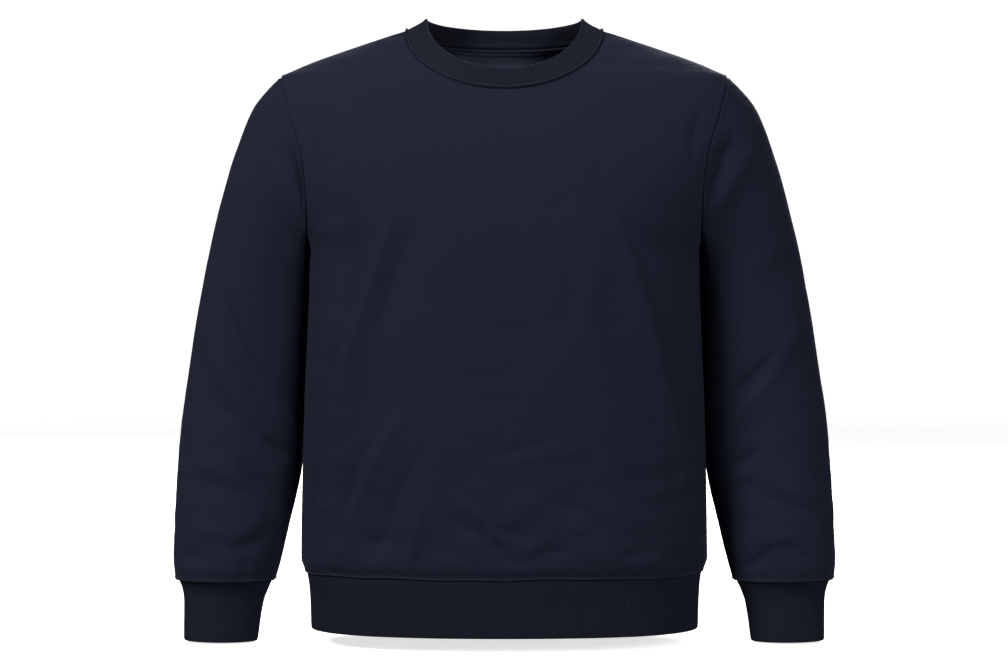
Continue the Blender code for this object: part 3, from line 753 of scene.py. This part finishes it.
SleeveRing = namedtuple("SleeveRing", "along outer_x outer_z inner_x inner_z depth middle")
SLEEVE_SECTIONS = [SleeveRing(*row) for row in (
    (0.000, 0.259, -0.0545, 0.2262, -0.262, 0.069, -0.001),
    (0.016, 0.2728, -0.067, 0.228, -0.269, 0.069, 0.003),
    (0.040, 0.292, -0.090, 0.2285, -0.280, 0.0685, 0.010),
    (0.075, 0.3088, -0.128, 0.2283, -0.296, 0.068, 0.018),
    (0.130, 0.331, -0.197, 0.228, -0.328, 0.0675, 0.024),
    (0.200, 0.3522, -0.290, 0.2288, -0.382, 0.0665, 0.028),
    (0.275, 0.3674, -0.383, 0.2315, -0.442, 0.0635, 0.026),
    (0.350, 0.3784, -0.4756, 0.236, -0.506, 0.059, 0.018),
    (0.430, 0.3826, -0.564, 0.2495, -0.573, 0.0535, 0.006),
    (0.488, 0.3832, -0.618, 0.2615, -0.623, 0.048, -0.002),
    (0.506, 0.3805, -0.636, 0.2658, -0.637, 0.043, -0.004),
)]
ARMHOLE_REACH, SLEEVE_GIRTH = 0.11, 0.29
UNDERARM_SINK, UNDERSEAM_SINK, SLEEVE_BULGE = 0.0002, 0.0008, 0.0019
SLEEVE_ROWS, SLEEVE_CELLS = 168, 164

# By x and z as on the panels; x is counted outwards on either sleeve.
LEFT_SLEEVE_FRONT = [Fold(*row) for row in (
    (0.264, -0.122, 0.216, -0.225, -0.004, 0.0085, -0.009, 0.2),
    (0.292, -0.130, 0.236, -0.225, -0.004, 0.012, 0.0044),
    (0.316, -0.368, 0.240, -0.440, 0.004, 0.0095, -0.0062, 0.2),
    (0.322, -0.378, 0.244, -0.468, 0.004, 0.011, 0.0046),
    (0.350, -0.330, 0.300, -0.395, 0.003, 0.016, 0.0028),
    (0.300, -0.480, 0.240, -0.510, 0.004, 0.008, -0.0034),
    (0.296, -0.498, 0.244, -0.528, 0.004, 0.008, 0.0025),
    (0.272, -0.520, 0.374, -0.562, -0.006, 0.011, -0.003, 0.2),
    (0.280, -0.508, 0.376, -0.546, -0.006, 0.012, 0.0024),
    (0.268, -0.624, 0.312, -0.592, -0.002, 0.006, -0.0031),
    (0.306, -0.590, 0.360, -0.614, 0.002, 0.006, -0.0031),
    (0.280, -0.584, 0.340, -0.580, -0.004, 0.009, 0.0028),
    (0.330, -0.250, 0.290, -0.330, 0.003, 0.018, -0.0022),
)]
RIGHT_SLEEVE_FRONT = [Fold(*row) for row in (
    (0.252, -0.128, 0.219, -0.240, -0.004, 0.0085, -0.010, 0.2),
    (0.276, -0.140, 0.240, -0.250, -0.006, 0.012, 0.0046),
    (0.326, -0.285, 0.236, -0.455, 0.018, 0.011, -0.0088, 0.3),
    (0.342, -0.310, 0.256, -0.480, 0.018, 0.013, 0.007),
    (0.276, -0.470, 0.240, -0.500, 0.002, 0.009, -0.0042),
    (0.300, -0.490, 0.250, -0.560, 0.004, 0.013, -0.006),
    (0.362, -0.518, 0.282, -0.544, -0.004, 0.011, -0.0027, 0.2),
    (0.366, -0.502, 0.286, -0.526, -0.004, 0.012, 0.0022),
    (0.322, -0.600, 0.268, -0.582, 0.003, 0.0095, -0.0028),
    (0.326, -0.586, 0.276, -0.566, 0.003, 0.011, 0.0024),
    (0.374, -0.600, 0.334, -0.614, 0.002, 0.008, -0.0034),
    (0.372, -0.566, 0.316, -0.580, 0.003, 0.010, 0.0025),
    (0.352, -0.420, 0.300, -0.450, 0.003, 0.014, -0.0025),
)]
LEFT_SLEEVE_BACK = [Fold(*row) for row in (
    (0.270, -0.110, 0.240, -0.240, 0.004, 0.012, -0.004),
    (0.352, -0.320, 0.250, -0.372, -0.010, 0.011, -0.0044, 0.2),
    (0.350, -0.352, 0.254, -0.408, -0.010, 0.013, 0.0036),
    (0.330, -0.402, 0.256, -0.436, -0.004, 0.010, -0.0046, 0.2),
    (0.366, -0.430, 0.262, -0.488, -0.012, 0.013, 0.0036),
    (0.374, -0.508, 0.300, -0.532, -0.004, 0.009, -0.0036),
    (0.340, -0.556, 0.276, -0.572, 0.004, 0.010, -0.003),
    (0.368, -0.590, 0.300, -0.612, 0.004, 0.009, -0.0036),
)]
RIGHT_SLEEVE_BACK = [Fold(*row) for row in (
    (0.262, -0.130, 0.236, -0.226, 0.005, 0.011, -0.0042),
    (0.336, -0.270, 0.246, -0.352, -0.012, 0.013, -0.004, 0.2),
    (0.356, -0.362, 0.270, -0.392, -0.004, 0.010, -0.0046, 0.2),
    (0.362, -0.384, 0.256, -0.430, -0.010, 0.012, 0.004),
    (0.346, -0.446, 0.258, -0.462, 0.006, 0.011, -0.004, 0.2),
    (0.374, -0.476, 0.272, -0.516, -0.008, 0.012, 0.0034),
    (0.330, -0.546, 0.268, -0.560, -0.003, 0.009, -0.0034),
    (0.376, -0.566, 0.316, -0.592, 0.005, 0.010, -0.0034),
    (0.330, -0.606, 0.282, -0.598, 0.003, 0.008, -0.0032),
)]


def section_rings(sections, along, turn):
    """Rings of a sleeve or cuff at these distances down it. A turn of 0 is the inner edge, a
    quarter turn the front."""
    outer_x, outer_z, inner_x, inner_z, depth, middle = [
        column(sections, name, along)[:, None] for name in SleeveRing._fields[1:]
    ]
    x = (outer_x + inner_x) / 2 - (outer_x - inner_x) / 2 * np.cos(turn)
    z = (outer_z + inner_z) / 2 - (outer_z - inner_z) / 2 * np.cos(turn)
    return np.stack([x, middle - depth * np.sin(turn), z], -1)


def ring_normals(grid):
    """Outward normals of a closed grid of rings, whose last column repeats the first."""
    along = np.gradient(grid, axis=0)
    around = np.gradient(grid, axis=1)
    around[:, 0] = around[:, -1] = (grid[:, 1] - grid[:, -2]) / 2
    normal = unit(np.cross(around, along))
    outwards = np.sum(normal * (grid - grid.mean(axis=1, keepdims=True)))
    return normal * np.sign(outwards)


def armhole_point(turn):
    """The armhole seam at these turns round the sleeve's head."""
    z = UNDERARM_Z + (SHOULDER_TIP_Z - UNDERARM_Z) * (1 - np.cos(turn)) / 2
    front = body_surface(column(ARMHOLE, "front_x", z), z, -1)[0]
    behind = body_surface(column(ARMHOLE, "back_x", z), z, 1)[0]
    return np.where((turn <= np.pi)[:, None], front, behind)


def sleeve(front_folds, back_folds, nestling, seam_place, seed):
    """The outer and inner face of the sleeve at +X, from the armhole to the cuff seam. Nestling
    is how far its front fills out beside the body, as a share of what a square corner would."""
    length = SLEEVE_SECTIONS[-1].along
    share = np.linspace(0, 1, SLEEVE_ROWS + 1)
    along = length * (share - 0.045 * np.sin(2 * np.pi * share) / np.pi)
    way = np.linspace(0, 1, SLEEVE_CELLS + 1)
    turn = 2 * np.pi * (way - 0.5 * np.sin(2 * np.pi * way) / (2 * np.pi))
    rings = section_rings(SLEEVE_SECTIONS, along, turn)
    corner = np.clip(np.sin(turn), 0, 1) ** 0.6 - np.clip(np.sin(turn), 0, 1)
    beside_body = corner * eased(np.cos(turn) / 0.6)
    beside_body = np.outer(eased(along / 0.08) * eased((0.42 - along) / 0.10), beside_body)
    rings[..., 1] -= nestling * beside_body * column(SLEEVE_SECTIONS, "depth", along)[:, None]
    head = armhole_point(turn)
    rings += (1 - eased(along / ARMHOLE_REACH))[:, None, None] * (head - rings[0])
    normal = ring_normals(rings)

    x, z = rings[..., 0], rings[..., 2]
    facing = np.broadcast_to(np.sin(turn), x.shape)
    height = fold_height(front_folds, x, z) * eased(facing / 0.35)
    height += fold_height(back_folds, x, z) * eased(-facing / 0.35)
    from_head = run(rings, 0)
    from_cuff = from_head[-1] - from_head
    height *= eased(from_head / FOLDLESS_HEAD) * eased(from_cuff / FOLDLESS_CUFF)
    edge_way = np.minimum(turn, 2 * np.pi - turn)
    around = run(rings, 1)
    girth = around[:, -1:]
    ripple = unevenness(x + 0.4 * rings[..., 1], z, seed)
    ripple += rumples(x + 0.5 * rings[..., 1], z, seed + 2) * eased(edge_way / 0.6)
    height += 0.6 * ripple * eased(np.minimum(from_head, from_cuff) / 0.02)
    height += puckers(around / girth * SLEEVE_GIRTH, from_cuff, seed + 1)
    head_sink = UNDERARM_SINK + (SEAM_SINK - UNDERARM_SINK) * eased(edge_way / 0.8)
    height += seam_shape(from_head, head_sink) + ridge_height(ROLLED_EDGE, from_cuff)
    underseam = np.abs((around - seam_place + girth / 2) % girth - girth / 2)
    height += 0.6 * seam_shape(underseam, UNDERSEAM_SINK) * eased(from_cuff / 0.004)
    height += SLEEVE_BULGE * eased(1 - edge_way / 0.7) * by_the_arm(z)
    height[:, -1] = height[:, 0]
    outer = rings + normal * height[..., None]
    return outer, outer - normal * FLEECE, normal


sleeves = {}
for side_name, side, *shape in (
    ("left", 1, LEFT_SLEEVE_FRONT, LEFT_SLEEVE_BACK, 0.3, -0.006, 31),
    ("right", -1, RIGHT_SLEEVE_FRONT, RIGHT_SLEEVE_BACK, 1.0, 0.009, 47),
):
    outer, inner, normal = [grid * np.array([side, 1, 1]) for grid in sleeve(*shape)]
    sleeves[side_name] = (outer, normal)
    piece = sew("sleeve_" + side_name + "_cloth", outer, inner, True, fleece)
    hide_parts("sleeve_" + side_name)

# ---- The cuffs ----
# A cuff is a band of 1x1 rib, folded double at its lower edge. It is knitted tighter than the
# sleeve, so it draws in below the seam, and its ribs stand up as fine upright cords.

RIB_WALL, RIB_PITCH, RIB_RELIEF = 0.0025, 0.00275, 0.00085
CUFF_SECTIONS = [SleeveRing(*row) for row in (
    (0.000, 0.3765, -0.636, 0.269, -0.637, 0.041, -0.004),
    (0.010, 0.3728, -0.646, 0.2735, -0.647, 0.0355, -0.004),
    (0.024, 0.3706, -0.660, 0.2788, -0.6612, 0.0315, -0.005),
    (0.070, 0.3700, -0.706, 0.2858, -0.707, 0.0285, -0.008),
)]
CUFF_ROWS, CUFF_RIB_POINTS, CUFF_MIDDLE = 18, 7, np.array([0.045])


def even_turns(ring_at, pitch, rib_points):
    """Turns round a ring, spaced for a whole number of ribs that all have the same width."""
    fine = np.linspace(0, 2 * np.pi, 4001)
    distance = run(ring_at(fine)[None], 1)[0]
    ribs = round(distance[-1] / pitch)
    return np.interp(np.linspace(0, distance[-1], ribs * rib_points + 1), distance, fine)


def rib_height(columns, rib_points):
    """The rounded ridges and narrow grooves of a 1x1 rib, by the point's number round it."""
    return np.abs(np.cos(np.pi * np.arange(columns) / rib_points)) ** 0.9 - 0.5


def folded_edge(from_edge, wall):
    """How far a face draws in where a doubled band rounds over its folded edge."""
    radius = wall / 2
    reach = np.clip(1 - from_edge / radius, 0, 1)
    return radius * (1 - np.sqrt(1 - reach**2))


def rib_band(rings, rib_points, wall, relief, from_seam, from_edge, seed, meeting=None):
    """The outer and inner face of a doubled rib band laid on these rings. Its rim at the seam
    may turn to the direction that it shares with the piece it is sewn to."""
    normal = ring_normals(rings)
    around = run(rings, 1)
    ribs = relief * rib_height(rings.shape[1], rib_points) * eased((from_seam + 0.0004) / 0.0030)
    ribs = ribs * (0.3 + 0.7 * eased(from_edge / 0.0035))
    sway = 0.5 * unevenness(around, run(rings, 0), seed)
    sway[:, -1] = sway[:, 0]
    sway = sway * eased(from_seam / 0.01)
    turned_in = folded_edge(from_edge, wall)
    outer = rings + normal * (ribs + sway - turned_in)[..., None]
    inwards, facing = normal, 1
    if meeting is not None:
        nearness = np.exp(-((from_seam / MEETING_REACH) ** 2))[..., None]
        inwards = unit(normal * (1 - nearness) + meeting * nearness)
        facing = np.clip(np.sum(inwards * normal, axis=-1, keepdims=True), 0.6, 1)
    inner = rings - inwards / facing * (wall + 0.6 * ribs - sway - turned_in)[..., None]
    return outer, inner, normal


RIB_NAVY, RIB_PALER = (0.0062, 0.0072, 0.0130), (0.0077, 0.0088, 0.0157)
rib_face = knit_face("navy_rib", RIB_NAVY, RIB_PALER, RIB_PITCH / 2, 0.0012, 0.02)

cuff_length = CUFF_SECTIONS[-1].along
down = np.linspace(0, 1, CUFF_ROWS + 1)
along = cuff_length * (down - 0.12 * np.sin(2 * np.pi * down) / np.pi)
along = np.sort(np.append(along, cuff_length - np.array([0.0001, 0.0003, 0.0007])))
turn = even_turns(
    lambda fine: section_rings(CUFF_SECTIONS, CUFF_MIDDLE, fine)[0], RIB_PITCH, CUFF_RIB_POINTS
)
rings = section_rings(CUFF_SECTIONS, along, turn)
from_seam = along[:, None]
from_edge = cuff_length - from_seam
for side_name, side, seed in (("left", 1, 61), ("right", -1, 67)):
    outer, inner, _ = rib_band(
        rings, CUFF_RIB_POINTS, RIB_WALL, RIB_RELIEF, from_seam, from_edge, seed
    )
    mirror = np.array([side, 1, 1])
    name = "cuff_" + side_name
    piece = sew(name + "_rib", outer * mirror, inner * mirror, True, [rib_face, rib_face])
    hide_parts(name)

# ---- The hem band ----
# The same doubled rib goes round the bottom of the body in one band, closed at the left side
# seam. It is a little shorter round than the body, which it gathers in and holds to the hips.

HEM_RINGS = [
    BodyRing(-0.6915, 0.2235, 0.1185, 0.1035, 0.000),
    BodyRing(-0.6610, 0.2244, 0.1185, 0.1035, 0.000),
    BodyRing(-0.6400, 0.2258, 0.1195, 0.1045, 0.000),
    BodyRing(HEM_SEAM_Z, 0.2282, 0.1207, 0.1057, 0.000),
]
HEM_ROWS, HEM_RIB_POINTS, HEM_MIDDLE_Z = 12, 6, -0.66


def round_body(turn, places):
    """What a function of the angle and the half gives at these turns round the body. A turn of
    0 is the right side, a quarter turn the front."""
    front, behind = places(turn - np.pi / 2, -1), places(3 * np.pi / 2 - turn, 1)
    return np.where((turn <= np.pi)[..., None], front, behind)


def hem_ring(turn, z):
    """Points of the hem band at these turns and heights."""
    return round_body(turn, lambda angle, half: ring_point(HEM_RINGS, angle, z, half))


hem_low = HEM_RINGS[0].z
hem_turn = even_turns(lambda fine: hem_ring(fine, HEM_MIDDLE_Z), RIB_PITCH, HEM_RIB_POINTS)
hem_z = HEM_SEAM_Z + (hem_low - HEM_SEAM_Z) * np.linspace(0, 1, HEM_ROWS + 1)
hem_z = np.sort(np.append(hem_z, hem_low + np.array([0.0002, 0.0006])))[::-1]
hem_rings = hem_ring(hem_turn[None, :], hem_z[:, None])
from_seam = (HEM_SEAM_Z - hem_z)[:, None]
from_edge = (hem_z - hem_low)[:, None]
hem_outer, hem_inner, _ = rib_band(
    hem_rings, HEM_RIB_POINTS, RIB_WALL, RIB_RELIEF, from_seam, from_edge, 71
)
shift = hem_wander(hem_rings) * np.exp(-from_seam / WANDER_REACH)
hem_outer[..., 2] += shift
hem_inner[..., 2] += shift
hem = sew("hem_rib", hem_outer, hem_inner, True, [rib_face, rib_face])
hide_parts("hem_band")

# ---- The neck band ----
# A ring of doubled rib, a little heavier than the cuffs', set on the neck seam and stretched so
# that it leans in and lies close. Its fold is the free edge, and its ribs fan out to the seam.

COLLAR_RIB, COLLAR_DIP, COLLAR_STAND, COLLAR_CROWN = 0.0030, 0.0028, 0.0010, 0.0007
COLLAR_SEAM_LIP = Ridge(0.0015, 0.0016, 0.0012)
COLLAR_GROOVE = Ridge(-0.0007, 0.0044, 0.0016)
COLLAR_EDGE_LIP = Ridge(0.0007, 0.0020, 0.0018)
COLLAR_PITCH, COLLAR_RELIEF, COLLAR_MIDDLE = 0.0028, 0.0008, 0.4
COLLAR_ROWS, COLLAR_RIB_POINTS = 12, 7
CLOSE_ROWS = [0.012, 0.028, 0.045, 0.064, 0.11, 0.14, 0.19, 0.93, 0.955, 0.98, 0.993]


def collar_rings(turn, up):
    """The neck band at these turns round it, from the neck seam (up = 0) to its free edge."""

    def places(angle, half):
        seam = body_surface(*neck_seam(angle, half), half)[0]
        band = seam * (1 - up) + neck_edge(angle, half) * up
        band[..., 2] -= COLLAR_DIP * np.sin(np.pi * up[..., 0]) * np.sin(angle) ** 2
        return band

    return round_body(turn, places)


middle_up = np.full((1, 1, 1), COLLAR_MIDDLE)
collar_turn = even_turns(
    lambda fine: collar_rings(fine, middle_up)[0], COLLAR_PITCH, COLLAR_RIB_POINTS
)
up = np.sort(np.append(np.linspace(0, 1, COLLAR_ROWS + 1), CLOSE_ROWS))[:, None, None]
rings = collar_rings(collar_turn, up)
collar_run = run(rings, 0)
from_edge = collar_run[-1] - collar_run
crown = COLLAR_CROWN * np.sin(np.pi * np.clip(collar_run / collar_run[-1], 0, 1))
stand = COLLAR_STAND + crown + ridge_height(COLLAR_SEAM_LIP, collar_run)
stand = stand + ridge_height(COLLAR_EDGE_LIP, from_edge) + ridge_height(COLLAR_GROOVE, collar_run)
rings = rings + ring_normals(rings) * stand[..., None]
collar_meeting = round_body(collar_turn, neck_meeting)
collar_outer, collar_inner, collar_normal = rib_band(
    rings, COLLAR_RIB_POINTS, COLLAR_RIB, COLLAR_RELIEF, collar_run, from_edge, 83, collar_meeting
)
collar = sew("collar_rib", collar_outer, collar_inner, True, [rib_face, rib_face])
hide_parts("collar")

# ---- The neck tape ----
# A narrow strip of the body's own cloth, folded and sewn over the neck seam inside the back,
# where it shows below the neck band.

TAPE_TOP, TAPE_BOTTOM, TAPE_WALL, TAPE_CLEAR, TAPE_PLUMP = 0.0006, 0.0085, 0.0006, 0.0003, 0.0002
TAPE_ROWS = 8
# The tape's colours are far paler than the fleece's. This is painted light that lifts the shade
# inside the back neck below the neck band, with a little of the tape's own paler tone.
TAPE_NAVY_PAINTED_LIGHT, TAPE_PALER_PAINTED_LIGHT = (0.0310, 0.0340, 0.0570), (0.0390, 0.0430, 0.0690)


def read_along(reach, line, at):
    """What a line holds at these distances along it, from what it holds at each of its points."""
    return np.stack([np.interp(at, reach, line[:, axis]) for axis in range(3)], -1)


def line_on(grid, normal, distance):
    """Points at this distance in from the first row of a grid, and the normals there."""
    reach = run(grid, 0).T
    columns = [
        [read_along(*column, distance) for column in zip(reach, held.transpose(1, 0, 2))]
        for held in (grid, normal)
    ]
    return np.array(columns[0]), unit(np.array(columns[1]))


below_neck = back_inner[::-1, NECK_COLUMNS], back_normal[::-1, NECK_COLUMNS]
tape_under, tape_way = [], []
for share in np.linspace(0, 1, TAPE_ROWS + 1):
    strip, way = line_on(*below_neck, TAPE_TOP + (TAPE_BOTTOM - TAPE_TOP) * share)
    plump = TAPE_PLUMP * np.sin(np.pi * share) ** 0.5
    tape_under.append(strip - way * (TAPE_CLEAR + plump))
    tape_way.append(way)
tape_under, tape_way = np.stack(tape_under)[:, 1:-1], np.stack(tape_way)[:, 1:-1]
# Painted light: the tape's pale colour stands in for light on the shaded inside of the back neck.
tape_face = knit_face("navy_tape", TAPE_NAVY_PAINTED_LIGHT, TAPE_PALER_PAINTED_LIGHT, WALE, COURSE, 0.03)
tape_over = tape_under - tape_way * TAPE_WALL
tape = sew("back_neck_tape", tape_over, tape_under, False, [tape_face])
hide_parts("neck_tape")

# ---- The stitching ----
# A row of navy polyester thread runs along each seam between the fleece and a rib band, on the
# roll of the fleece or on the neck band. A stitch is a short bead drawn a little into the cloth.

STITCH, STITCH_GAP = 0.0024, 0.0008
THREAD, THREAD_LIFT = 0.00030, 0.35
ROLL_ROW, COLLAR_ROW = 0.0030, 0.0024
THREAD_NAVY, THREAD_PALER = (0.0190, 0.0222, 0.0385), (0.0260, 0.0300, 0.0510)
bpy.ops.object.select_all(action="DESELECT")
bpy.ops.mesh.primitive_uv_sphere_add(segments=6, ring_count=4, radius=1)
bead = bpy.context.object
bpy.ops.object.mode_set(mode="EDIT")
bpy.ops.transform.rotate(value=np.pi / 2, orient_axis="Y", center_override=(0, 0, 0))
bpy.ops.transform.resize(value=(STITCH / 2, THREAD, THREAD), center_override=(0, 0, 0))
bpy.ops.object.mode_set(mode="OBJECT")
BEAD_POINTS = np.array([vertex.co for vertex in bead.data.vertices])
# Blender numbers the faces of a new sphere anew in each run, so they are put in one order.
corners = [np.array(face.vertices) for face in bead.data.polygons]
BEAD_FACES = sorted(np.roll(face, -face.argmin()).tolist() for face in corners)
bpy.data.objects.remove(bead, do_unlink=True)


def stitch_row(places, ways):
    """The points of a row of stitches along a line on the cloth."""
    reach = run(places[None], 1)[0]
    count = int(reach[-1] / (STITCH + STITCH_GAP))
    middle = (np.arange(count) + 0.5) * reach[-1] / count
    ahead, behind = (read_along(reach, places, middle + step) for step in (0.001, -0.001))
    forward = unit(ahead - behind)
    sideways = unit(np.cross(unit(read_along(reach, ways, middle)), forward))
    lift = np.cross(forward, sideways)
    beads = BEAD_POINTS @ np.stack([forward, sideways, lift], 1)
    return read_along(reach, places, middle)[:, None] + lift[:, None] * THREAD * THREAD_LIFT + beads


def stitches(name, outer, normal, distance):
    """A row of stitches at this distance in from the first row of a piece's grid."""
    points = stitch_row(*line_on(outer, normal, distance))
    starts = range(0, len(points) * len(BEAD_POINTS), len(BEAD_POINTS))
    faces = [[start + corner for corner in face] for start in starts for face in BEAD_FACES]
    mesh = bpy.data.meshes.new(name)
    mesh.from_pydata(points.reshape(-1, 3).tolist(), [], faces)
    laid_out(name, mesh, [thread.material])


thread = Finish("navy_thread", Roughness=0.6, Sheen_Weight=0.03, Specular_IOR_Level=0.15)
twist = thread.noise(thread.node("ShaderNodeTexCoord", {}, {}).outputs["Object"], 900, 2)
thread.colour(twist, THREAD_NAVY, THREAD_PALER)

for name, outer, normal in (
    ("front", front_outer, front_normal),
    ("back", back_outer, back_normal),
    *[("sleeve_" + side, outer[::-1], normal[::-1]) for side, (outer, normal) in sleeves.items()],
):
    stitches(name + "_stitching", outer, normal, ROLL_ROW)
stitches("collar_stitching", collar_outer, collar_normal, COLLAR_ROW)
